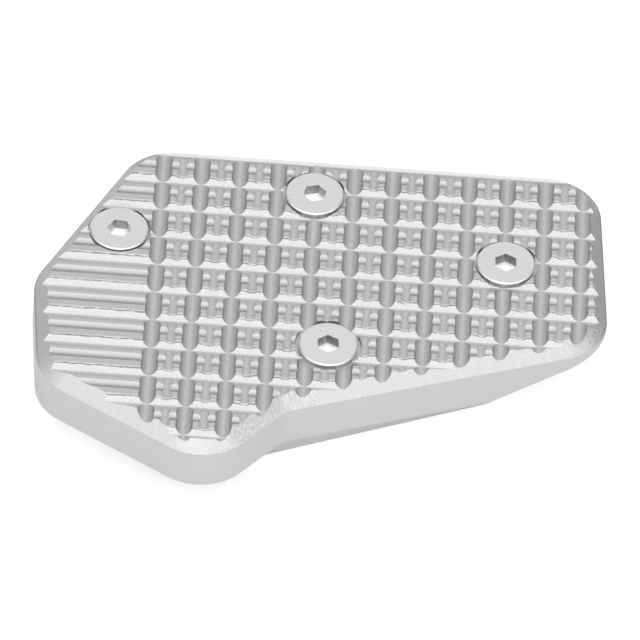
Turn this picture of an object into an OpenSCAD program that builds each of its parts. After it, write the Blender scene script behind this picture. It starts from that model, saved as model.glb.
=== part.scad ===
// Brake pedal extension: a machined tread plate with a ridged top, a clamp plate under the pedal
// and four countersunk screws that pull the two together. Millimetres, +Z up.
// Plan positions are measured from the sharp back-left corner of the tread plate, +X along its
// back edge and +Y towards the back. The finished model stands centred on its own box.

/* [Tread plate outline] */
// Length of the straight back edge between its sharp corners
back_edge = 89.8; // [84:0.1:96]
// Run of the slanted back-left edge to the left
slant_run = 19.3; // [15:0.1:23]
// Drop of the slanted back-left edge towards the front
slant_drop = 37.6; // [34:0.1:41]
// Lean of the left edge, back towards the right
left_lean = 2.2; // [0:0.1:5]
// Length of the left edge, front to back
left_drop = 26.0; // [22:0.1:30]
// Run of the front-left edge to the right
toe_run = 34.2; // [30:0.1:38]
// Drop of the front-left edge to the tip of the toe
toe_drop = 20.4; // [17:0.1:24]
// Run of the toe's short right flank
flank_run = 14.0; // [11:0.1:17]
// Rise of the toe's short right flank
flank_rise = 16.1; // [13:0.1:19]
// Run of the long front edge to the right
front_run = 61.7; // [57:0.1:66]
// Rise of the long front edge
front_rise = 22.1; // [18:0.1:26]
// Radius of the six outer corners
corner_r = 11; // [9:0.5:12]
// Radius of the inner corner beside the toe
notch_r = 7.5; // [5:0.1:10]

/* [Tread plate section] */
// Thickness of the tread plate from its underside to the ridge tops
plate_t = 11; // [9:0.1:14]
// Width and height of the machined edge chamfer
edge_chamfer = 2.6; // [1.6:0.1:3.4]
// Plan angle of the line where the underside starts to rise, from the back edge
rise_line_angle = 74; // [66:1:82]
// Slope of the rising underside at the right end
rise_slope = 22; // [12:1:24]
// Start of the rising underside on the front edge, from the inner corner
rise_start = 41.7; // [40:0.1:48]

/* [Ridges and grooves] */
// Pitch of the ridges in both directions
pitch = 7.5; // [7:0.1:8.5]
// Depth of the cross grooves below the ridge tops
vee_depth = 1.15; // [0.8:0.05:1.4]
// Slope of the groove flank that faces the front
vee_steep = 45; // [35:1:60]
// Slope of the groove flank that faces the back
vee_gentle = 30; // [25:1:40]
// Centre of the first cross groove, in from the back edge
vee_first = 2.4; // [1.5:0.1:3.5]
// Number of cross grooves
vee_count = 11; // [9:1:11]
// Width of the round lengthwise grooves at the ridge tops
round_w = 3.34; // [2.6:0.02:3.8]
// Depth of the round lengthwise grooves
round_depth = 1.12; // [0.9:0.02:1.4]
// Back end of the lengthwise grooves, in the first cross groove
groove_end = 2.3; // [2:0.05:2.6]
// Centre of the first lengthwise groove, from the back-left corner
round_first = 4.3; // [3.5:0.1:5.5]
// Number of lengthwise grooves
round_count = 12; // [10:1:12]
// Width of the fine grooves that quarter each ridge top
fine_w = 2.0; // [1:0.1:2.4]
// Depth of the fine grooves
fine_depth = 0.25; // [0.1:0.05:0.4]
// Place of the fine cross groove between two cross grooves, from the front one
fine_place = 3.7; // [3.4:0.1:4]

/* [Screws] */
// Thread diameter of the screws
screw_d = 6; // [5:0.5:6.5]
// Overall length of a screw
screw_len = 16; // [14:0.5:16.5]
// Head diameter
head_d = 11.5; // [10.5:0.1:12]
// Height of the straight rim round the head
head_rim = 1.0; // [0.8:0.1:1.2]
// Rounding chamfer on the rim's upper edge
head_edge = 0.25; // [0.1:0.05:0.4]
// Height of the head tops above the ridge tops
head_proud = 0.3; // [0.1:0.05:0.4]
// Width across the flats of the hexagon socket
socket_af = 4.1; // [3.5:0.1:4.5]
// Depth of the hexagon socket
socket_depth = 2.2; // [1.8:0.1:2.6]
// Point of the thread end
end_chamfer = 0.8; // [0.4:0.1:1.2]
// Place of the left screw, right of the back-left corner
left_screw_x = -3.5; // [-5:0.1:-2]
// Place of the left screw, in from the back edge
left_screw_y = 24.6; // [23:0.1:26]
// Place of the back screw, right of the back-left corner
back_screw_x = 34.1; // [30:0.1:38]
// Place of the back screw, in from the back edge
back_screw_y = 11.35; // [10.4:0.05:12]
// Place of the right screw, right of the back-left corner
right_screw_x = 72.05; // [70:0.05:73]
// Place of the right screw, in from the back edge
right_screw_y = 26.6; // [23:0.1:28]
// Place of the front screw, right of the back-left corner
front_screw_x = 38.45; // [35:0.05:43]
// Place of the front screw, in from the back edge
front_screw_y = 51.85; // [50.4:0.05:52.6]

/* [Screw seats] */
// Diameter of the round recess round the left, back and right heads
recess_d = 12.3; // [12:0.1:13]
// Diameter of the wider recess round the front head
front_recess_d = 13.0; // [12:0.1:13.4]
// Depth of the recess floor below the head's straight rim
recess_extra = 0.1; // [0.05:0.05:0.4]
// Gap between the head's cone and its countersink
cone_gap = 0.05; // [0.02:0.01:0.15]
// Diameter of the clearance holes in the tread plate
clear_d = 6.6; // [6.6:0.1:7.2]
// Gap round the thread in the clamp plate
thread_gap = 0.05; // [0.02:0.01:0.1]

/* [Pedal pocket] */
// Length of the pocket that takes the pedal's own tread
pocket_l = 57.6; // [52:0.1:59]
// Width of the pocket
pocket_w = 24; // [20:0.1:25]
// Depth of the pocket in the underside
pocket_depth = 5; // [3:0.1:5.5]
// Left end of the pocket, from the back-left corner
pocket_x = 6.0; // [5:0.1:7]
// Back side of the pocket, in from the back edge
pocket_y = 18.9; // [18.4:0.1:19.6]
// Radius of the pocket's corners
pocket_r = 4; // [2:0.1:6]

/* [Clamp plate] */
// Thickness of the clamp plate
clamp_t = 6; // [5:0.1:8]
// Inset of the clamp plate's back edge from the back edge above
clamp_back = 5.8; // [4.5:0.1:6.5]
// Left end of the clamp plate's back edge
clamp_back_left = -1.9; // [-4:0.1:0]
// Right end of the clamp plate's back edge
clamp_back_right = 69.0; // [64:0.1:74]
// Outermost left corner of the clamp plate, to the left
clamp_left_x = -11.6; // [-13:0.1:-11]
// Outermost left corner of the clamp plate, in from the back edge
clamp_left_y = 24.9; // [22:0.1:28]
// Lower left corner of the clamp plate, to the left
clamp_low_x = -10.1; // [-11:0.1:-9]
// Lower left corner of the clamp plate, in from the back edge
clamp_low_y = 48.9; // [44:0.1:52]
// Front corner of the clamp plate under the toe, from the back-left corner
clamp_toe_x = 15.0; // [13:0.1:17]
// Front corner of the clamp plate under the toe, in from the back edge
clamp_toe_y = 72.0; // [70:0.1:73]
// Right front corner of the clamp plate, from the back-left corner
clamp_front_x = 72.6; // [71:0.1:74]
// Right front corner of the clamp plate, in from the back edge
clamp_front_y = 48.0; // [46:0.1:50]
// Rightmost corner of the clamp plate, from the back-left corner
clamp_right_x = 80.6; // [79.5:0.1:81]
// Rightmost corner of the clamp plate, in from the back edge
clamp_right_y = 18.9; // [17:0.1:21]
// Radius of the clamp plate's corners
clamp_r = 6.5; // [3:0.1:8]
// Width of the slot for the pedal arm
slot_w = 16.5; // [14:0.1:18]
// Left side of the slot, right of the pocket's left end
slot_inset = 0; // [0:0.1:2]
// Chamfer round the clamp plate's lower edge
clamp_chamfer = 0.6; // [0.3:0.1:1]

/* [Hidden] */
$fn = 64;

// Overshoot of every cutting body past the surface that it opens
over = 1;
// Largest step of the points along a rounded corner, in degrees
arc_step = 3;
// Turn of each hexagon socket about its screw
left_turn = -5;
back_turn = 16;
right_turn = 32;
front_turn = 34;

ridge_z = clamp_t + plate_t;
vee_z = ridge_z - vee_depth;
head_z = ridge_z + head_proud;
socket_r = socket_af / 2 / cos(30);
// Margin between the socket's flats and the drilled hole that it is broached over
drill_margin = 0.1;
drill_r = socket_af / 2 - drill_margin;

// Sharp corners of the tread plate, anticlockwise seen from above
left_corner = [-slant_run, -slant_drop];
heel_corner = left_corner + [left_lean, -left_drop];
toe_corner = heel_corner + [toe_run, -toe_drop];
notch_corner = toe_corner + [flank_run, flank_rise];
front_corner = notch_corner + [front_run, front_rise];
plate_points = [[0, 0], left_corner, heel_corner, toe_corner, notch_corner, front_corner,
    [back_edge, 0]];
plate_radii = [corner_r, corner_r, corner_r, corner_r, notch_r, corner_r, corner_r];

clamp_points = [[clamp_back_left, -clamp_back], [clamp_left_x, -clamp_left_y],
    [clamp_low_x, -clamp_low_y], [clamp_toe_x, -clamp_toe_y], [clamp_front_x, -clamp_front_y],
    [clamp_right_x, -clamp_right_y], [clamp_back_right, -clamp_back]];
clamp_radii = [for (p = clamp_points) clamp_r];

pocket_points = [[pocket_x, -pocket_y], [pocket_x, -pocket_y - pocket_w],
    [pocket_x + pocket_l, -pocket_y - pocket_w], [pocket_x + pocket_l, -pocket_y]];
pocket_radii = [for (p = pocket_points) pocket_r];

screw_places = [[left_screw_x, -left_screw_y], [back_screw_x, -back_screw_y],
    [right_screw_x, -right_screw_y], [front_screw_x, -front_screw_y]];
recesses = [recess_d, recess_d, recess_d, front_recess_d];

// Geometry of a rounded corner: directions along its two edges, half its angle, tangent points
function before(p, i) = p[(i + len(p) - 1) % len(p)];
function after(p, i) = p[(i + 1) % len(p)];
function along(a, b) = (b - a) / norm(b - a);
function to_before(p, i) = along(p[i], before(p, i));
function to_after(p, i) = along(p[i], after(p, i));
function half_angle(p, i) = acos(to_before(p, i) * to_after(p, i)) / 2;
function sweep(p, i) = 180 - 2 * half_angle(p, i);
function tangent_in(p, r, i) = p[i] + to_before(p, i) * r[i] / tan(half_angle(p, i));
function arc_centre(p, r, i) = p[i]
    + along([0, 0], to_before(p, i) + to_after(p, i)) * r[i] / sin(half_angle(p, i));
function heading(v) = atan2(v[1], v[0]);

// +1 where the outline turns left at a corner, -1 at an inner corner
function turn_sign(p, i) = sign(cross(p[i] - before(p, i), after(p, i) - p[i]));

// Rounded outline, pulled in by an inset: the arcs of all corners in order
function rounded(p, r, inset) = [
    for (i = [0 : len(p) - 1])
        let (c = arc_centre(p, r, i), first = heading(tangent_in(p, r, i) - c),
            n = ceil(sweep(p, i) / arc_step), radius = r[i] - turn_sign(p, i) * inset)
        for (k = [0 : n])
            let (a = first + turn_sign(p, i) * sweep(p, i) * k / n)
            c + radius * [cos(a), sin(a)]];

// Middle of the finished plate's box, which becomes the origin
box_left = arc_centre(plate_points, plate_radii, 1)[0] - corner_r;
box_right = arc_centre(plate_points, plate_radii, 5)[0] + corner_r;
box_front = arc_centre(plate_points, plate_radii, 3)[1] - corner_r;
box_middle = [(box_left + box_right) / 2, box_front / 2];

module in_frame() {
    translate([-box_middle[0], -box_middle[1], 0]) children();
}

// Outline points lifted to a height
function lifted(ring, z) = [for (q = ring) [q[0], q[1], z]];

// Slab from z = 0 to z = t with rounded corners and a chamfer of c round its top edge; the point
// mid, from which the whole outline is in view, is the hub of its two flat faces
module chamfered_slab(p, r, t, c, mid) {
    side = rounded(p, r, 0);
    rim = rounded(p, r, c);
    n = len(side);
    points = concat(lifted(side, 0), lifted(side, t - c), lifted(rim, t),
        [[mid[0], mid[1], 0], [mid[0], mid[1], t]]);
    polyhedron(points, [
        for (i = [0 : n - 1])
            let (j = (i + 1) % n)
            each [[i, n + i, n + j, j], [n + i, 2 * n + i, 2 * n + j, n + j],
                [3 * n, i, j], [3 * n + 1, 2 * n + j, 2 * n + i]]]);
}

// Radius of a round groove of width w and depth d
function groove_r(w, d) = (w * w / 4 + d * d) / (2 * d);

// Lengths that carry the cross grooves past both ends and the lengthwise grooves past the front
groove_x0 = box_left - over;
groove_x_len = box_right - box_left + 2 * over;
groove_y_len = -box_front - groove_end + over;

module cross_grooves() {
    rise = vee_depth + over;
    for (k = [0 : vee_count - 1])
        translate([groove_x0, -vee_first - k * pitch, vee_z]) rotate([90, 0, 90])
            linear_extrude(groove_x_len)
                polygon([[0, 0], [rise / tan(vee_steep), rise], [-rise / tan(vee_gentle), rise]]);
}

module fine_cross_grooves() {
    r = groove_r(fine_w, fine_depth);
    for (k = [1 : vee_count - 1])
        translate([groove_x0, -vee_first - k * pitch + fine_place, ridge_z - fine_depth + r])
            rotate([0, 90, 0]) cylinder(h = groove_x_len, r = r);
}

module lengthwise_grooves(w, d, first, count) {
    r = groove_r(w, d);
    for (k = [0 : count - 1])
        translate([first + k * pitch, -groove_end, ridge_z - d + r]) rotate([90, 0, 0])
            cylinder(h = groove_y_len, r = r);
}

// Recess of width d, countersink and clearance hole for one screw
module screw_seat(d) {
    floor_z = head_z - head_rim - recess_extra;
    wide_r = head_d / 2 + cone_gap * sqrt(2) - recess_extra;
    translate([0, 0, floor_z]) cylinder(h = ridge_z - floor_z + over, d = d);
    translate([0, 0, floor_z - (wide_r - clear_d / 2)])
        cylinder(h = wide_r - clear_d / 2, r1 = clear_d / 2, r2 = wide_r);
    translate([0, 0, clamp_t - over]) cylinder(h = plate_t, d = clear_d);
}

// Underside of the right end, which rises towards the corner
module rising_underside() {
    start = notch_corner + to_after(plate_points, 4) * rise_start;
    size = 2 * back_edge;
    translate([start[0], start[1], clamp_t]) rotate([0, 0, rise_line_angle - 90])
        rotate([0, -rise_slope, 0]) translate([0, -size / 2, -size]) cube(size);
}

module tread_plate() {
    color([0.80, 0.80, 0.81]) in_frame() difference() {
        translate([0, 0, clamp_t])
            chamfered_slab(plate_points, plate_radii, plate_t, edge_chamfer, box_middle);
        cross_grooves();
        fine_cross_grooves();
        lengthwise_grooves(round_w, round_depth, round_first, round_count);
        lengthwise_grooves(fine_w, fine_depth, round_first + pitch / 2, round_count - 1);
        for (k = [0 : len(screw_places) - 1])
            translate([screw_places[k][0], screw_places[k][1], 0]) screw_seat(recesses[k]);
        translate([0, 0, clamp_t - over]) linear_extrude(pocket_depth + over)
            polygon(rounded(pocket_points, pocket_radii, 0));
        rising_underside();
    }
}

module clamp_plate() {
    slot_x = pocket_x + slot_inset;
    slot_end = pocket_y + slot_w / 2;
    color([0.77, 0.77, 0.78]) in_frame() difference() {
        translate([0, 0, clamp_t]) mirror([0, 0, 1])
            chamfered_slab(clamp_points, clamp_radii, clamp_t, clamp_chamfer, box_middle);
        for (s = screw_places) translate([s[0], s[1], -over])
            cylinder(h = clamp_t + 2 * over, d = screw_d + 2 * thread_gap);
        translate([slot_x, box_front, -over]) cube([slot_w, -box_front - slot_end, clamp_t + 2 * over]);
        translate([slot_x + slot_w / 2, -slot_end, -over])
            cylinder(h = clamp_t + 2 * over, d = slot_w);
    }
}

// Countersunk screw with a hexagon socket, its head top at z = 0
module countersunk_screw(turn) {
    head_r = head_d / 2;
    shank_r = screw_d / 2;
    difference() {
        rotate_extrude() polygon([[0, 0], [head_r - head_edge, 0], [head_r, -head_edge],
            [head_r, -head_rim], [shank_r, -head_rim - head_r + shank_r],
            [shank_r, -screw_len + end_chamfer], [shank_r - end_chamfer, -screw_len], [0, -screw_len]]);
        rotate([0, 0, turn]) translate([0, 0, -socket_depth])
            cylinder(h = socket_depth + over, r = socket_r, $fn = 6);
        rotate_extrude() polygon([[0, -socket_depth - drill_r / 2], [drill_r, -socket_depth],
            [drill_r, over], [0, over]]);
    }
}

module placed_screw(x, y, turn) {
    color([0.86, 0.86, 0.87]) in_frame() translate([x, -y, head_z]) countersunk_screw(turn);
}

module left_screw() { placed_screw(left_screw_x, left_screw_y, left_turn); }

module back_screw() { placed_screw(back_screw_x, back_screw_y, back_turn); }

module right_screw() { placed_screw(right_screw_x, right_screw_y, right_turn); }

module front_screw() { placed_screw(front_screw_x, front_screw_y, front_turn); }

tread_plate();
clamp_plate();
left_screw();
back_screw();
right_screw();
front_screw();
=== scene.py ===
"""Looks of the brake pedal extension: materials, studio and the photograph's camera.

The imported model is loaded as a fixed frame. Each node is shown by a merged copy of itself, which
carries exact normals and the marks that its finish reads. The frame is in metres, +Z up; sizes with
no other unit here are in millimetres.
"""

import logging
import math
from dataclasses import dataclass
from enum import Enum
from typing import Mapping, Optional, Sequence, Tuple, Union

import bmesh
import bpy
from mathutils import Matrix, Vector


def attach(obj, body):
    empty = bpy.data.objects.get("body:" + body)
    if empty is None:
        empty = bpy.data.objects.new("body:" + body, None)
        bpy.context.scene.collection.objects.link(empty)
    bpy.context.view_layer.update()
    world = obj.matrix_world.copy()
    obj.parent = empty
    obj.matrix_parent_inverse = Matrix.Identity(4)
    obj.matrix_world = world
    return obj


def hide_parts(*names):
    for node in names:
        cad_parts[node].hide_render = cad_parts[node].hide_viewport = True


Point2 = Tuple[float, float]
Point3 = Tuple[float, float, float]
Rgb = Tuple[float, float, float]
Operand = Union["Wire", float]

# Metres in a millimetre
MM = 0.001
# A face is upright when its normal rises or falls by less than this
WALL = 0.3
# Distance that anything found is nearer than
FAR_AWAY = 1e9
LOG = logging.getLogger("scene")


class Axis(Enum):
    """The axis that a set of grooves runs along."""

    X = 0
    Y = 1


@dataclass(frozen=True)
class Wire:
    """An output socket of a shader graph that can be used in ordinary arithmetic."""

    graph: "Graph"
    socket: bpy.types.NodeSocket

    def _maths(self, operation: str, *others: Operand) -> "Wire":
        """Joins this wire and others by one maths node.

        Args:
            operation: Blender's name of the operation.
            others: the node's further inputs.

        Returns:
            The wire that leaves the node.
        """
        return self.graph.maths(operation, self, *others)

    def __add__(self, other: Operand) -> "Wire":
        """Returns this value plus the other."""
        return self._maths("ADD", other)

    __radd__ = __add__

    def __mul__(self, other: Operand) -> "Wire":
        """Returns this value times the other."""
        return self._maths("MULTIPLY", other)

    __rmul__ = __mul__

    def __sub__(self, other: Operand) -> "Wire":
        """Returns this value minus the other."""
        return self._maths("SUBTRACT", other)

    def __rsub__(self, other: Operand) -> "Wire":
        """Returns the other value minus this one."""
        return self.graph.maths("SUBTRACT", other, self)

    def __pow__(self, other: Operand) -> "Wire":
        """Returns this value raised to the other."""
        return self._maths("POWER", other)

    def ramp(self, low: float, high: float) -> "Wire":
        """Rises smoothly from 0 to 1 between two values.

        Args:
            low: value that gives 0.
            high: value that gives 1.

        Returns:
            The smooth step.
        """
        return self.graph.add(
            "ShaderNodeMapRange",
            {"Value": self, "From Min": low, "From Max": high},
            out="Result",
            interpolation_type="SMOOTHSTEP",
        )

    def band(self, rise: Point2, fall: Point2) -> "Wire":
        """Rises from 0 to 1 over one range of values and falls back over another.

        Args:
            rise: where it rises.
            fall: where it falls.

        Returns:
            The band.
        """
        return self.ramp(*rise) * (1.0 - self.ramp(*fall))


class Graph:
    """A node tree around its main shader, of a material or of the world."""

    def __init__(self, owner: Union[bpy.types.Material, bpy.types.World], shader: str) -> None:
        """Opens the tree.

        Args:
            owner: the material or world.
            shader: name of the shader node that it starts with.
        """
        owner.use_nodes = True
        self.owner = owner
        self.nodes = owner.node_tree.nodes
        self.links = owner.node_tree.links
        self.shader = self.nodes[shader]

    @classmethod
    def of_material(cls, name: str) -> "Graph":
        """Makes a new material's graph.

        Args:
            name: the material's name.

        Returns:
            The graph round its Principled shader.
        """
        return cls(bpy.data.materials.new(name), "Principled BSDF")

    def add(self, kind: str, inputs: dict, out: str, **settings: object) -> Wire:
        """Adds one node.

        Args:
            kind: Blender's node type.
            inputs: socket name to wire, number or tuple.
            out: name of the output that is wanted.
            settings: attributes of the node.

        Returns:
            The wire that leaves the output.
        """
        node = self.nodes.new(kind)
        for key, value in settings.items():
            setattr(node, key, value)
        for key, value in inputs.items():
            self.join(value, node.inputs[key])
        return Wire(self, node.outputs[out])

    def join(self, value: object, socket: bpy.types.NodeSocket) -> None:
        """Feeds a socket by a wire or sets its constant.

        Args:
            value: a wire, a number or a tuple.
            socket: the input.
        """
        if isinstance(value, Wire):
            self.links.new(value.socket, socket)
        else:
            socket.default_value = value

    def maths(self, operation: str, *values: Operand) -> Wire:
        """Adds one maths node.

        Args:
            operation: Blender's name of the operation.
            values: its inputs in order.

        Returns:
            The wire that leaves the node.
        """
        node = self.nodes.new("ShaderNodeMath")
        node.operation = operation
        for value, socket in zip(values, node.inputs):
            self.join(value, socket)
        return Wire(self, node.outputs[0])

    def place(self, stretch: Point3 = (1.0, 1.0, 1.0)) -> Wire:
        """Gives the object's own coordinates.

        Args:
            stretch: factor along each axis.

        Returns:
            The coordinates in metres times the factors.
        """
        point = self.add("ShaderNodeTexCoord", {}, out="Object")
        return self.add("ShaderNodeMapping", {"Vector": point, "Scale": stretch}, out="Vector")

    def noise(self, at: Wire, scale: float, detail: float = 2.0) -> Wire:
        """Adds a noise texture.

        Args:
            at: coordinates.
            scale: waves per metre.
            detail: finer layers.

        Returns:
            Values about 0.5.
        """
        return self.add(
            "ShaderNodeTexNoise", {"Vector": at, "Scale": scale, "Detail": detail}, out="Fac"
        )

    def lanes(self, along: str, across: str, scale: Point2) -> Wire:
        """Gives coordinates that follow a milled edge.

        Args:
            along: attribute with the length run, in millimetres.
            across: attribute with the height, in millimetres.
            scale: waves per millimetre each way.

        Returns:
            The coordinates.
        """
        parts = {"X": self.attribute(along) * scale[0], "Y": self.attribute(across) * scale[1]}
        return self.add("ShaderNodeCombineXYZ", parts, out="Vector")

    def attribute(self, name: str) -> Wire:
        """Reads a number that the mesh carries.

        Args:
            name: the attribute's name.

        Returns:
            The number.
        """
        return self.add("ShaderNodeAttribute", {}, out="Fac", attribute_name=name)

    def mix(self, share: Operand, first: Operand, second: Operand) -> Wire:
        """Blends two numbers.

        Args:
            share: 0 for the first, 1 for the second.
            first: value at 0.
            second: value at 1.

        Returns:
            The blend.
        """
        return self.add("ShaderNodeMix", {"Factor": share, "A": first, "B": second}, out="Result")

    def tinted(self, base: Rgb, strength: Wire) -> Wire:
        """Makes a colour brighter or darker over the surface.

        Args:
            base: the colour at strength 1.
            strength: the factor.

        Returns:
            The varied colour.
        """
        parts = {n: strength * base[i] for i, n in enumerate(("Red", "Green", "Blue"))}
        return self.add("ShaderNodeCombineColor", parts, out="Color")

    def bump(self, height: Wire, distance: float) -> Wire:
        """Turns a height into a normal.

        Args:
            height: the height, about 0 to 1.
            distance: metres that a height of 1 stands for.

        Returns:
            The bent normal.
        """
        parts = {"Height": height, "Strength": 1.0, "Distance": distance}
        return self.add("ShaderNodeBump", parts, out="Normal")

    def finish(self, **inputs: object) -> Union[bpy.types.Material, bpy.types.World]:
        """Feeds the shader.

        Args:
            inputs: socket names with underscores for spaces, and their values.

        Returns:
            The finished material or world.
        """
        for key, value in inputs.items():
            self.join(value, self.shader.inputs[key.replace("_", " ")])
        return self.owner


@dataclass(frozen=True)
class CutZone:
    """A stretch of the chamfer, along the outline, where the cutter left its marks, with painted
    shade and a darker band along the lower edge.
    """

    start: float
    end: float
    fade: float
    streaks: float = 0.0
    crumbs: float = 0.0
    # painted shade of the stretch, painted light where it is below zero
    painted_shade: float = 0.0
    edge: float = 0.0

    def share(self, run: Wire) -> Wire:
        """Fades the stretch in and out.

        Args:
            run: length along the outline.

        Returns:
            1 within the stretch, 0 outside.
        """
        rise = (self.start, self.start + self.fade)
        return run.band(rise, (self.end - self.fade, self.end))


@dataclass(frozen=True)
class LipShadowAndHighlight:
    """Painted shadow and painted highlight of a fine burr along the front edge of every ridge,
    where the steep groove flank meets its top.

    The burr follows the edge down into the fine lengthwise grooves. Ranges are distances behind the
    edge, unless they say otherwise.
    """

    first: float
    fine_first: float
    fine_radius: float
    pitch: float = 7.5
    top: float = 17.0
    bottom: float = 15.85
    fine_depth: float = 0.25
    fine_start: Point2 = (-1.6, -1.5)
    upper: Point2 = (16.5, 16.7)
    steep_tilt: Point2 = (0.3, 0.5)
    wobble: float = 0.34
    wobble_scale: float = 620.0
    dash: float = 0.5
    dash_scale: float = 900.0
    dash_stretch: Point3 = (1.0, 0.3, 1.0)
    dash_range: Point2 = (0.3, 0.6)
    # Painted shadow under the burr and painted highlight on its edge: strength and band of each
    painted_shadow: float = 0.62
    painted_shadow_band: Tuple[Point2, Point2] = ((-0.27, -0.18), (-0.05, 0.01))
    light: float = 0.50
    painted_highlight_band: Tuple[Point2, Point2] = ((-0.02, 0.04), (0.26, 0.40))
    height: float = 0.02 * MM

    def draw(self, g: Graph) -> Tuple[Wire, Wire]:
        """Paints the burr's shadow line and highlight line from the place of each point.

        Args:
            g: the material's graph.

        Returns:
            The factor on the colour and the height in metres.
        """
        point = g.place((1.0 / MM,) * 3)
        x, y, z = (g.add("ShaderNodeSeparateXYZ", {"Vector": point}, out=n) for n in "XYZ")
        aside = self._nearest(g, x - self.fine_first)
        sag = g.maths("SQRT", g.maths("MAXIMUM", self.fine_radius**2 - aside * aside, 0.0))
        sag = g.maths("MAXIMUM", sag - (self.fine_radius - self.fine_depth), 0.0)
        sag = sag * x.ramp(*(self.fine_first + side for side in self.fine_start))
        wobble = self.wobble * (g.noise(g.place(), self.wobble_scale, 3.0) - 0.5)
        back = self._nearest(g, (y - self.first) - (z - self.bottom))
        back = back + (z - self.top) + sag + wobble
        shown = z.ramp(*self.upper) * (1.0 - g.attribute("milled"))
        shown = shown * (1.0 - g.attribute("tilt").ramp(*self.steep_tilt))
        shown = shown * (1.0 - g.attribute("side"))
        dashes = g.noise(g.place(self.dash_stretch), self.dash_scale, 2.0).ramp(*self.dash_range)
        shown = shown * (1.0 - self.dash + self.dash * dashes)
        # painted shadow under the burr, then painted highlight on its lit edge
        painted_shadow = back.band(*self.painted_shadow_band) * shown
        light = back.band(*self.painted_highlight_band) * shown
        return 1.0 - self.painted_shadow * painted_shadow + self.light * light, self.height * light

    def _nearest(self, g: Graph, length: Wire) -> Wire:
        """Measures from the nearest multiple of the pitch.

        Args:
            g: the material's graph.
            length: a length from the first place.

        Returns:
            The length from the nearest place, signed.
        """
        return g.maths("FLOORED_MODULO", length + 0.5 * self.pitch, self.pitch) - 0.5 * self.pitch


@dataclass(frozen=True)
class BlastedAluminium:
    """Bead-blasted, clear-anodised aluminium whose chamfer shows the cutter's marks in places; its
    colour also carries painted shade and painted highlights.
    """

    name: str
    base: Rgb = (0.80, 0.80, 0.805)
    level: float = 0.975
    rough: float = 0.46
    rough_spread: float = 0.10
    grain: float = 3300.0
    grain_depth: float = 0.06 * MM
    speckle: float = 0.42
    smooth_side: float = 0.35
    cloud: float = 240.0
    cloud_share: float = 0.03
    # Painted shade on the steep walls of the round grooves
    groove_shade: float = 0.38
    groove_tilt: Point2 = (0.5, 0.88)
    # Painted shade in the screw recesses
    seat_shade: float = 0.50
    zones: Tuple[CutZone, ...] = ()
    milled_depth: float = 0.04 * MM
    streak_scale: Point2 = (3.2, 0.4)
    streak_share: float = 1.1
    crumb_scale: Point2 = (2.4, 2.0)
    crumb_share: float = 0.30
    bright_crumbs: Point2 = (0.55, 0.66)
    dark_crumbs: Point2 = (0.36, 0.47)
    edge_range: Point2 = (14.45, 14.8)
    lip_shadow_and_highlight: Optional[LipShadowAndHighlight] = None

    def build(self) -> bpy.types.Material:
        """Makes the material.

        Returns:
            The material, which reads the marks that the mesh carries.
        """
        g = Graph.of_material(self.name)
        fine = g.noise(g.place(), self.grain, 2.0)
        cloud = g.noise(g.place(), self.cloud, 2.0)
        grain = g.mix(g.attribute("side"), fine, 0.5 + self.smooth_side * (fine - 0.5))
        tone = self.level + self.speckle * (grain - 0.5) + self.cloud_share * (cloud - 0.5)
        # painted shade on the steep walls of the round lengthwise grooves
        tone = tone * (1.0 - self.groove_shade * g.attribute("tilt").ramp(*self.groove_tilt))
        # painted shade on the front-facing faces of the screw recesses
        tone = tone * (1.0 - self.seat_shade * g.attribute("seat"))
        height = grain * self.grain_depth
        if self.zones:
            marks, cut = self._cutter(g)
            tone = tone * marks
            height = height + cut * self.milled_depth
        # painted shadow and painted highlight along the burr on the ridges
        if self.lip_shadow_and_highlight:
            drawn, raised = self.lip_shadow_and_highlight.draw(g)
            tone, height = tone * drawn, height + raised
        return g.finish(
            Metallic=1.0,
            Base_Color=g.tinted(self.base, tone),
            Roughness=self.rough + self.rough_spread * (grain - 0.5),
            Normal=g.bump(height, 1.0),
        )

    def _cutter(self, g: Graph) -> Tuple[Wire, Wire]:
        """Draws the cutter's marks on the chamfer, with each stretch's painted shade and a darker
        band along the chamfer's lower edge.

        Args:
            g: the material's graph.

        Returns:
            The factor on the colour and the height, about 0 to 1.
        """
        milled, run, rise = (g.attribute(n) for n in ("milled", "run", "rise"))
        streak = g.noise(g.lanes("run", "rise", self.streak_scale), 1.0, 3.0)
        crumb = g.noise(g.lanes("run", "rise", self.crumb_scale), 1.0, 3.0)
        shares = [zone.share(run) * milled for zone in self.zones]
        streaks, crumbs, painted_shade, edge = (
            sum((share * getattr(zone, part) for share, zone in zip(shares, self.zones)), 0.0)
            for part in ("streaks", "crumbs", "painted_shade", "edge")
        )
        rough_bits = crumb.ramp(*self.bright_crumbs) - (1.0 - crumb.ramp(*self.dark_crumbs))
        marks = 1.0 + self.streak_share * streaks * (streak - 0.5)
        marks = marks * (1.0 + self.crumb_share * crumbs * rough_bits)
        # painted shade of each stretch (painted light where negative), and darker towards the
        # chamfer's lower edge
        marks = marks * (1.0 - painted_shade) * (1.0 - edge * (1.0 - rise.ramp(*self.edge_range)))
        return marks, streaks * streak + crumbs * crumb


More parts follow.
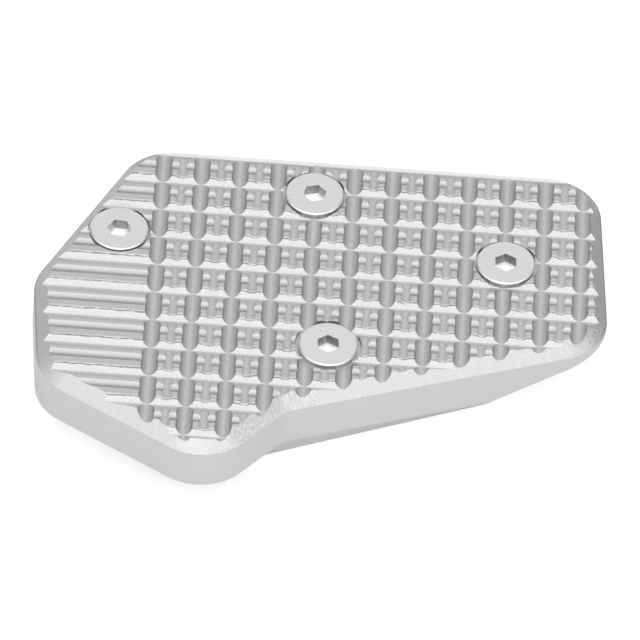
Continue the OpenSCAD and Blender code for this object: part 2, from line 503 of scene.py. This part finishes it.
@dataclass(frozen=True)
class SatinSteel:
    """Stainless steel of the turned screws, with painted shade on the socket's side walls and on
    the rim's lower part.
    """

    name: str
    base: Rgb = (0.97, 0.97, 0.97)
    level: float = 0.93
    rough: float = 0.27
    rough_spread: float = 0.10
    # Painted shade on the socket's side walls and the rim's lower part
    hollow_shade: float = 0.34
    grain: float = 3000.0
    grain_share: float = 0.06
    cloud: float = 400.0
    cloud_share: float = 0.03
    turning: float = 1500.0
    turning_share: float = 0.08
    turning_stretch: Point3 = (0.3, 1.6, 1.0)
    relief: float = 0.012 * MM

    def build(self) -> bpy.types.Material:
        """Makes the material.

        Returns:
            The material.
        """
        g = Graph.of_material(self.name)
        fine = g.noise(g.place(), self.grain, 2.0)
        cloud = g.noise(g.place(), self.cloud, 2.0)
        turned = g.noise(g.place(self.turning_stretch), self.turning, 3.0)
        tone = self.level + self.grain_share * fine + self.turning_share * (turned - 0.5)
        tone = tone + self.cloud_share * cloud
        # painted shade on the socket's side walls and the rim's lower part
        tone = tone * (1.0 - self.hollow_shade * g.attribute("shade"))
        return g.finish(
            Metallic=1.0,
            Base_Color=g.tinted(self.base, tone),
            Roughness=self.rough + self.rough_spread * (cloud - 0.5),
            Normal=g.bump(fine + turned, self.relief),
        )


@dataclass(frozen=True)
class ShadowFloor:
    """Pale floor that the camera sees as white and that still carries the object's soft shadow."""

    name: str = "floor"
    shade: float = 0.90
    rough: float = 0.9
    lift: float = 0.50
    mirrored: float = 0.01

    def build(self) -> bpy.types.Material:
        """Makes the material.

        Returns:
            The material.
        """
        g = Graph.of_material(self.name)
        seen, mirrored = (
            g.add("ShaderNodeLightPath", {}, out=f"Is {kind} Ray") for kind in ("Camera", "Glossy")
        )
        return g.finish(
            Base_Color=(self.shade, self.shade, self.shade, 1.0),
            Roughness=self.rough,
            Emission_Color=(1.0, 1.0, 1.0, 1.0),
            Emission_Strength=seen * self.lift + mirrored * self.mirrored,
        )


@dataclass
class Outline:
    """Rounded plan outline of the tread plate, for marking what was milled along it."""

    corners: Sequence[Point2]
    radii: Sequence[float]

    def depth(self, x: float, y: float) -> Tuple[float, float]:
        """Finds how deep a point lies inside the outline.

        Args:
            x: place in millimetres.
            y: place in millimetres.

        Returns:
            The distance from the outline, positive inside, and the length run along it.
        """
        p, best, run = Vector((x, y)), (FAR_AWAY, 0.0), 0.0
        for i in range(len(self.corners)):
            corner, back, on, half, r = self._corner(i)
            following, _, _, half_next, r_next = self._corner(i + 1)
            reach, inward = r / math.tan(half), (back + on).normalized()
            centre = corner + inward * r / math.sin(half)
            spoke = p - centre
            if spoke.dot(-inward) > spoke.length * math.sin(half):
                turn = 1.0 if on.cross(back) > 0 else -1.0
                swept = (corner + back * reach - centre).angle(spoke)
                best = self._nearer(best, (turn * (r - spoke.length), run + r * swept))
            run += r * (math.pi - 2 * half)
            start = corner + on * reach
            straight = (following - corner).length - reach - r_next / math.tan(half_next)
            along = (p - start).dot(on)
            if 0.0 <= along <= straight:
                best = self._nearer(best, (on.cross(p - start), run + along))
            run += straight
        return best

    def length(self) -> float:
        """Returns the length once round the outline."""
        total = 0.0
        for i in range(len(self.corners)):
            corner, _, _, half, r = self._corner(i)
            total += (self._corner(i + 1)[0] - corner).length
            total += r * (math.pi - 2 * half - 2 / math.tan(half))
        return total

    def _corner(self, i: int) -> Tuple[Vector, Vector, Vector, float, float]:
        """Measures one corner.

        Args:
            i: the corner's number, counted on round the outline.

        Returns:
            The corner, the directions back and on from it, half its angle and its radius.
        """
        n = len(self.corners)
        before, corner, after = (Vector(self.corners[(i + k) % n]) for k in (-1, 0, 1))
        back, on = (before - corner).normalized(), (after - corner).normalized()
        return corner, back, on, math.acos(back.dot(on)) / 2, self.radii[i % n]

    @staticmethod
    def _nearer(first: Point2, second: Point2) -> Point2:
        """Returns the one whose distance, its first number, is smaller."""
        return second if abs(second[0]) < abs(first[0]) else first


@dataclass(frozen=True)
class RoundGrooves:
    """A family of parallel round grooves or of upright bores, in millimetres."""

    centres: Tuple[Point2, ...]
    radii: Tuple[float, ...]
    across: Tuple[int, int]
    bend: float = 1.0
    shaded: float = 0.0
    rules: float = 0.0
    slack: float = 0.02
    likeness: float = 0.93

    def cuts(self) -> Sequence[float]:
        """Returns where the mesh is cut so that this family can run through the ones it crosses."""
        return [u + side * self.rules for u, _ in self.centres for side in (-1, 1) if self.rules]

    def through(self, corners: Sequence[Vector]) -> Sequence[Tuple[Vector, float]]:
        """Carries the groove's normals on through a crossing groove of the same depth.

        Args:
            corners: corners of a face of the crossing groove, in millimetres.

        Returns:
            One normal and tilt per corner, or nothing outside this family's middle band.
        """
        a, b = self.across
        for (u, _), r in zip(self.centres, self.radii):
            if all(abs(p[a] - u) <= self.rules + self.slack for p in corners):
                spokes = []
                for p in corners:
                    spoke = Vector((0.0, 0.0, 0.0))
                    spoke[a], spoke[b] = u - p[a], math.sqrt(r * r - (u - p[a]) ** 2)
                    spokes.append(spoke)
                return [(self._bent(w), 0.0) for w in spokes]
        return ()

    def hollow(self, corners: Sequence[Vector], flat: Vector) -> Sequence[Tuple[Vector, float]]:
        """Finds the exact curved normals of a face of a groove.

        Args:
            corners: the face's corners in millimetres.
            flat: the face's flat normal.

        Returns:
            One normal and tilt per corner, or nothing where the face isn't part of a groove.
        """
        a, b = self.across
        for (u, v), r in zip(self.centres, self.radii):
            if abs(corners[0][a] - u) > r + self.slack:
                continue
            spokes = []
            for p in corners:
                spoke = Vector((0.0, 0.0, 0.0))
                spoke[a], spoke[b] = u - p[a], v - p[b]
                spokes.append(spoke)
            if any(abs(w.length - r) > self.slack for w in spokes):
                continue
            if sum(spokes, Vector()).normalized().dot(flat) > self.likeness:
                return [(self._bent(w), self.shaded * abs(w[a]) / r) for w in spokes]
        return ()

    def _bent(self, spoke: Vector) -> Vector:
        """Turns a spoke into a normal, leaning more or less than the true circle.

        Args:
            spoke: vector from the surface to the axis.

        Returns:
            The normal.
        """
        spoke[self.across[0]] *= self.bend
        return spoke.normalized()


@dataclass(frozen=True)
class GroovePattern:
    """Sizes of one set of round grooves at one pitch, in millimetres."""

    axis: Axis
    first: float
    pitch: float
    count: int
    width: float
    depth: float
    top: float = 17.0

    @property
    def radius(self) -> float:
        """Returns the radius that gives the width and the depth."""
        return (self.width**2 / 4 + self.depth**2) / (2 * self.depth)

    def family(self, bend: float = 1.0, shaded: float = 0.0, rules: float = 0.0) -> RoundGrooves:
        """Lays the grooves out.

        Args:
            bend: how much the normals lean against the true circle.
            shaded: how much painted shade the walls get.
            rules: half the width of the band that runs on through a crossing groove.

        Returns:
            The family.
        """
        r = self.radius
        centres = tuple(
            (self.first + k * self.pitch, self.top - self.depth + r) for k in range(self.count)
        )
        across = (1 - self.axis.value, 2)
        return RoundGrooves(centres, (r,) * self.count, across, bend, shaded, rules)


@dataclass
class Skin:
    """Visible copy of one node, with its doubled corners merged and its edges kept sharp."""

    node: str
    slot: str
    material: bpy.types.Material
    soft_angle: float = 24.0
    merged: float = 0.002
    sliver: float = 0.001

    def build(self) -> bpy.types.Object:
        """Makes the visible copy.

        Returns:
            The object, riding on the root body.
        """
        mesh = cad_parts[self.node].data.copy()
        mesh.name = f"{self.node}_skin"
        b = bmesh.new()
        b.from_mesh(mesh)
        bmesh.ops.remove_doubles(b, verts=b.verts, dist=self.merged * MM)
        bmesh.ops.dissolve_degenerate(b, edges=b.edges, dist=self.sliver * MM)
        self._prepare(b)
        self._mark(b)
        b.to_mesh(mesh)
        b.free()
        blended = mesh.attributes.get("custom_normal")
        if blended:
            mesh.attributes.remove(blended)
        mesh.materials.clear()
        mesh.materials.append(self.material)
        obj = bpy.data.objects.new(f"{self.node}_skin", mesh)
        bpy.context.scene.collection.objects.link(obj)
        mesh.shade_smooth()
        mesh.set_sharp_from_angle(angle=math.radians(self.soft_angle))
        self._curve(mesh)
        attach(obj, "root")
        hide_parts(self.node)
        LOG.info("%s: %d faces", obj.name, len(mesh.polygons))
        return obj

    def _prepare(self, b: bmesh.types.BMesh) -> None:
        """Cuts the mesh where its normals change; a plain skin needs no cut.

        Args:
            b: the merged mesh.
        """

    def _mark(self, b: bmesh.types.BMesh) -> None:
        """Writes what the finish reads; a plain skin has nothing to write.

        Args:
            b: the merged mesh.
        """

    def _curve(self, mesh: bpy.types.Mesh) -> None:
        """Refines the normals; a plain skin keeps those of its faces.

        Args:
            mesh: the finished mesh.
        """


@dataclass
class Plate(Skin):
    """A machined plate with round grooves and a milled chamfer along its outline."""

    soft_angle: float = 8.0
    grooves: Sequence[RoundGrooves] = ()
    outline: Optional[Outline] = None
    top: float = 17.0
    chamfer: float = 2.6
    chamfer_slack: float = 0.06
    lean_slack: float = 0.02
    upper: float = 0.3
    upper_rise: float = 0.5
    cut_slack: float = 0.0001
    seats: Sequence[Point3] = ()
    seat_slack: float = 0.1
    seat_front: float = -0.1

    def _prepare(self, b: bmesh.types.BMesh) -> None:
        """Cuts the faces between the ridges along the bands that run through crossings.

        Args:
            b: the merged mesh.
        """
        for family in self.grooves:
            for place in family.cuts():
                upper = [
                    f for f in b.faces
                    if f.normal.z > self.upper_rise
                    and min(v.co.z for v in f.verts) > (self.top - self.upper) * MM
                    and min(v.co[family.across[0]] for v in f.verts) < place * MM
                    and max(v.co[family.across[0]] for v in f.verts) > place * MM
                ]
                edges = {e for f in upper for e in f.edges}
                at, across = Vector((0.0, 0.0, 0.0)), Vector((0.0, 0.0, 0.0))
                at[family.across[0]], across[family.across[0]] = place * MM, 1.0
                parts = list(upper) + list(edges) + list({v for f in upper for v in f.verts})
                bmesh.ops.bisect_plane(
                    b, geom=parts, dist=self.cut_slack * MM, plane_co=at, plane_no=across
                )

    def _curve(self, mesh: bpy.types.Mesh) -> None:
        """Gives the round grooves their exact normals and notes how far they tilt, which weights
        the painted shade on their walls.

        Args:
            mesh: the finished mesh.
        """
        normals = [Vector(n.vector) for n in mesh.corner_normals]
        tilts = [0.0] * len(normals)
        places = [v.co / MM for v in mesh.vertices]
        curved = 0
        for face in mesh.polygons:
            corners = [places[i] for i in face.vertices]
            for i, family in enumerate(self.grooves):
                exact = family.hollow(corners, face.normal)
                for ruler in self.grooves[:i] if exact else ():
                    exact = ruler.through(corners) or exact if ruler.rules else exact
                for loop, (normal, tilt) in zip(face.loop_indices, exact):
                    normals[loop], tilts[loop] = normal, tilt
                curved += bool(exact)
        mesh.attributes.new("tilt", "FLOAT", "CORNER").data.foreach_set("value", tilts)
        mesh.normals_split_custom_set(normals)
        LOG.info("%s: %d curved faces", mesh.name, curved)

    def _mark(self, b: bmesh.types.BMesh) -> None:
        """Marks the side walls, the front-facing faces of the screw recesses for their painted
        shade, and the milled chamfer, with the run along the edge.

        Args:
            b: the merged mesh.
        """
        names = ("milled", "side", "seat", "run", "rise")
        milled, side, seat, run, rise = (b.loops.layers.float.new(n) for n in names)
        foot, lean = self.top - self.chamfer, math.sqrt(0.5)
        whole = self.outline.length() if self.outline else 0.0
        for f in b.faces:
            # front-facing faces in a screw recess get painted shade
            faces_front = f.normal.y < self.seat_front
            in_seat = faces_front and self._in_seat(f.calc_center_median() / MM)
            for loop in f.loops:
                loop[side], loop[seat] = float(abs(f.normal.z) < WALL), float(in_seat)
            if not self.outline or abs(f.normal.z - lean) > self.lean_slack:
                continue
            places = [loop.vert.co / MM for loop in f.loops]
            found = [self.outline.depth(p.x, p.y) for p in places]
            gaps = (abs(d[0] - (p.z - foot)) for d, p in zip(found, places))
            if max(gaps) > self.chamfer_slack:
                continue
            lengths = [d[1] for d in found]
            split = max(lengths) - min(lengths) > whole / 3
            for loop, place, length in zip(f.loops, places, lengths):
                length += whole if split and length < whole / 3 else 0.0
                loop[milled], loop[run], loop[rise] = 1.0, length, place.z

    def _in_seat(self, place: Vector) -> bool:
        """Tells whether a place, in millimetres, lies in a screw's recess."""
        return any(
            math.hypot(place.x - x, place.y - y) < r + self.seat_slack for x, y, r in self.seats
        )


@dataclass
class Screw(Skin):
    """A countersunk screw with a hexagon socket."""

    centre: Point2 = (0.0, 0.0)
    socket: float = 2.5
    socket_span: Point2 = (13.5, 17.25)
    socket_floor: Point3 = (0.0, -0.3, 0.954)
    rim_foot: float = 17.2
    rim_shade: float = 1.5

    def _mark(self, b: bmesh.types.BMesh) -> None:
        """Marks the upright faces in the socket and round the rim for their painted shade.

        Args:
            b: the merged mesh.
        """
        shade = b.loops.layers.float.new("shade")
        for f in b.faces:
            if abs(f.normal.z) > WALL:
                continue
            inside, sideways = self._inside(f.calc_center_median()), abs(f.normal.x) > WALL
            for loop in f.loops:
                low = loop.vert.co.z / MM < self.rim_foot
                loop[shade] = float(sideways) if inside else self.rim_shade * low

    def _curve(self, mesh: bpy.types.Mesh) -> None:
        """Shades the socket's shallow drill point as one flat floor, which leans to the front.

        Args:
            mesh: the finished mesh.
        """
        normals = [Vector(n.vector) for n in mesh.corner_normals]
        for face in mesh.polygons:
            if face.normal.z > WALL and self._inside(face.center):
                for loop in face.loop_indices:
                    normals[loop] = Vector(self.socket_floor)
        mesh.normals_split_custom_set(normals)

    def _inside(self, place: Vector) -> bool:
        """Tells whether a place, in metres, lies in the socket."""
        x, y, z = place / MM
        aside = math.hypot(x - self.centre[0], y - self.centre[1])
        return aside < self.socket and self.socket_span[0] < z < self.socket_span[1]


@dataclass
class ProductCamera:
    """The photograph's long lens, solved from the ridge lattice."""

    place: Point3 = (-0.0218876, -1.434245, 1.4987763)
    look: Point3 = (0.01062337, 0.69420477, -0.71969916)
    right: Point3 = (0.99749637, 0.04296643, 0.05616829)
    pixels: float = 10640.0
    frame_px: float = 640.0
    sensor: float = 36.0
    clip: Point2 = (0.1, 20.0)

    def build(self) -> bpy.types.Object:
        """Makes the camera and gives it to the scene.

        Returns:
            The camera.
        """
        data = bpy.data.cameras.new("product_camera")
        data.sensor_width = self.sensor
        data.lens = self.pixels * self.sensor / self.frame_px
        data.clip_start, data.clip_end = self.clip
        camera = bpy.data.objects.new("product_camera", data)
        back = -Vector(self.look).normalized()
        right = Vector(self.right)
        right = (right - back * right.dot(back)).normalized()
        turn = Matrix((right, back.cross(right), back)).transposed()
        camera.matrix_world = Matrix.Translation(self.place) @ turn.to_4x4()
        bpy.context.scene.collection.objects.link(camera)
        bpy.context.scene.camera = camera
        return camera


@dataclass(frozen=True)
class SoftLight:
    """One square studio light that faces the object."""

    name: str
    place: Point3
    size: float
    watts: float

    def build(self) -> bpy.types.Object:
        """Makes the light.

        Returns:
            The light.
        """
        data = bpy.data.lights.new(self.name, "AREA")
        data.shape, data.size, data.energy = "SQUARE", self.size, self.watts
        lamp = bpy.data.objects.new(self.name, data)
        lamp.location = self.place
        lamp.rotation_euler = (-Vector(self.place)).to_track_quat("-Z", "Y").to_euler()
        bpy.context.scene.collection.objects.link(lamp)
        return lamp


@dataclass
class Studio:
    """Pale floor, white surround and soft lights.

    The surround is brightest in front of the object. It dims to both sides from the ranges of y on,
    and at the far end, and glows a little round the direction that flat tops mirror.
    """

    floor: ShadowFloor
    lights: Sequence[SoftLight]
    floor_size: float = 6.0
    level: float = 0.75
    frontal: float = 0.345
    upward: float = 0.16
    leaning: float = 0.01
    sideways: float = 0.26
    sideways_range: Point2 = (-0.35, 0.45)
    far: float = 0.36
    far_range: Point2 = (0.74, 1.0)
    glow: float = 0.14
    glow_way: Point2 = (0.694, 0.72)
    glow_power: float = 30.0

    def build(self) -> None:
        """Makes the floor, the surround and the lights."""
        b = bmesh.new()
        bmesh.ops.create_grid(b, x_segments=1, y_segments=1, size=self.floor_size / 2)
        mesh = bpy.data.meshes.new("floor")
        b.to_mesh(mesh)
        b.free()
        mesh.materials.append(self.floor.build())
        floor = bpy.data.objects.new("floor", mesh)
        bpy.context.scene.collection.objects.link(floor)
        for light in self.lights:
            light.build()
        self._surround()

    def _surround(self) -> None:
        """Makes the world, a white tent round the object."""
        g = Graph(bpy.data.worlds.new("surround"), "Background")
        way = g.add("ShaderNodeTexCoord", {}, out="Generated")
        x, y, z = (g.add("ShaderNodeSeparateXYZ", {"Vector": way}, out=n) for n in "XYZ")
        light = self.level - self.frontal * y + self.upward * z - self.leaning * x
        light = light - self.sideways * g.maths("ABSOLUTE", x) * y.ramp(*self.sideways_range)
        toward = g.maths("MAXIMUM", self.glow_way[0] * y + self.glow_way[1] * z, 0.0)
        light = light + self.glow * toward**self.glow_power - self.far * y.ramp(*self.far_range)
        bpy.context.scene.world = g.finish(Color=(1.0, 1.0, 1.0, 1.0), Strength=light)


@dataclass(frozen=True)
class TreadLayout:
    """Where the CAD's tread plate has its outline, its grooves and its screws, in millimetres.

    The corners and the grooves are measured from the plate's back-left corner. The screws are
    placed in the frame, each with the radius of its recess.
    """

    origin: Point2 = (36.604, -40.420)
    corners: Tuple[Point2, ...] = (
        (0.0, 0.0), (-19.3, -37.6), (-17.1, -63.6), (17.1, -84.0), (31.1, -67.9), (92.8, -45.8),
        (89.8, 0.0),
    )
    radii: Tuple[float, ...] = (11.0, 11.0, 11.0, 11.0, 7.5, 11.0, 11.0)
    pitch: float = 7.5
    round_first: float = 4.3
    round_count: int = 12
    round_size: Point2 = (3.34, 1.12)
    fine_first: float = 8.05
    fine_count: int = 11
    fine_size: Point2 = (2.0, 0.25)
    cross_first: float = -6.2
    cross_count: int = 10
    ridge_first: float = -2.4
    rules: float = 0.7
    bend: float = 1.25
    left_screw: Point3 = (-40.104, 15.82, 6.15)
    back_screw: Point3 = (-2.504, 29.07, 6.15)
    right_screw: Point3 = (35.446, 13.82, 6.15)
    front_screw: Point3 = (1.846, -11.43, 6.5)
    # Chamfer stretches: the cutter's streaks and crumbs, painted shade at the back and on the right
    # side, a little painted light round the toe, and darker bands along the lower edge on both
    # sides
    zones: Tuple[CutZone, ...] = (
        CutZone(-5.0, 13.0, 3.0, painted_shade=0.20),
        CutZone(240.0, 330.0, 5.0, painted_shade=0.30),
        CutZone(8.0, 72.0, 8.0, painted_shade=0.04, edge=0.35),
        CutZone(112.0, 120.0, 3.0, streaks=0.8, painted_shade=-0.07),
        CutZone(117.0, 129.5, 2.0, crumbs=0.7, painted_shade=-0.08),
        CutZone(128.0, 138.5, 2.0, streaks=0.8),
        CutZone(191.0, 206.0, 4.0, crumbs=0.7),
        CutZone(192.0, 246.0, 10.0, crumbs=0.15, painted_shade=0.26, edge=0.35),
    )

    def screws(self) -> Mapping[str, Point3]:
        """Returns each screw's node with its place and the radius of its recess."""
        names = ("left_screw", "back_screw", "right_screw", "front_screw")
        return {name: getattr(self, name) for name in names}

    def outline(self) -> Outline:
        """Returns the plate's outline in the frame."""
        x, y = self.origin
        return Outline([(u - x, v - y) for u, v in self.corners], self.radii)

    def grooves(self) -> Tuple[RoundGrooves, ...]:
        """Lays out the round lengthwise grooves, both fine sets and the screw seats.

        Returns:
            The families, each of which can run on through the ones behind it.
        """
        first = self.cross_first - self.origin[1]
        lengthwise = self._lengthwise(self.round_first, self.round_count, self.round_size)
        across = GroovePattern(Axis.X, first, -self.pitch, self.cross_count, *self.fine_size)
        seats = tuple(self.screws().values())
        return (
            lengthwise.family(shaded=1.0),
            self._fine().family(rules=self.rules),
            across.family(bend=self.bend),
            RoundGrooves(tuple(s[:2] for s in seats), tuple(s[2] for s in seats), (0, 1)),
        )

    def lip_shadow_and_highlight(self) -> LipShadowAndHighlight:
        """Returns the painted shadow and painted highlight of the burr on the ridges' front edges.
        """
        fine = self._fine()
        return LipShadowAndHighlight(self.ridge_first - self.origin[1], fine.first, fine.radius)

    def _fine(self) -> GroovePattern:
        """Returns the fine lengthwise grooves."""
        return self._lengthwise(self.fine_first, self.fine_count, self.fine_size)

    def _lengthwise(self, first: float, count: int, size: Point2) -> GroovePattern:
        """Lays out one set of grooves that run from front to back.

        Args:
            first: the first groove, from the back-left corner.
            count: how many grooves.
            size: their width and depth.

        Returns:
            The set.
        """
        return GroovePattern(Axis.Y, first - self.origin[0], self.pitch, count, *size)


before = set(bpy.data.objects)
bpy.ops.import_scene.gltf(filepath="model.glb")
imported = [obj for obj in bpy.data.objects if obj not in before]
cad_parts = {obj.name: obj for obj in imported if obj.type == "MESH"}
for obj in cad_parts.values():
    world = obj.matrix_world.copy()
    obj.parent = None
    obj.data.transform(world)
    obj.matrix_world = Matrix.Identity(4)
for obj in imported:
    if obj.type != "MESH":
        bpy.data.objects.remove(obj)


def main() -> None:
    """Builds the visible model and its studio."""
    logging.basicConfig(level=logging.INFO, format="%(name)s: %(message)s")
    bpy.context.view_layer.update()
    bpy.context.scene.view_settings.view_transform = "Standard"
    layout = TreadLayout()
    screws = layout.screws()
    blasted = BlastedAluminium("blasted_tread", zones=layout.zones, lip_shadow_and_highlight=layout.lip_shadow_and_highlight()).build()
    Plate(
        "tread_plate",
        "tread_aluminium",
        blasted,
        grooves=layout.grooves(),
        outline=layout.outline(),
        seats=tuple(screws.values()),
    ).build()
    Plate("clamp_plate", "clamp_aluminium", BlastedAluminium("blasted_clamp").build()).build()
    steel = SatinSteel("satin_steel").build()
    for name, (x, y, _) in screws.items():
        Screw(name, "screw_steel", steel, centre=(x, y)).build()
    ProductCamera().build()
    lights = (
        SoftLight("key", (-0.25, -1.1, 1.5), 1.5, 1.6),
        SoftLight("top", (0.3, 0.6, 1.8), 1.0, 1.5),
    )
    Studio(ShadowFloor(), lights).build()


if __name__ == "__main__":
    main()
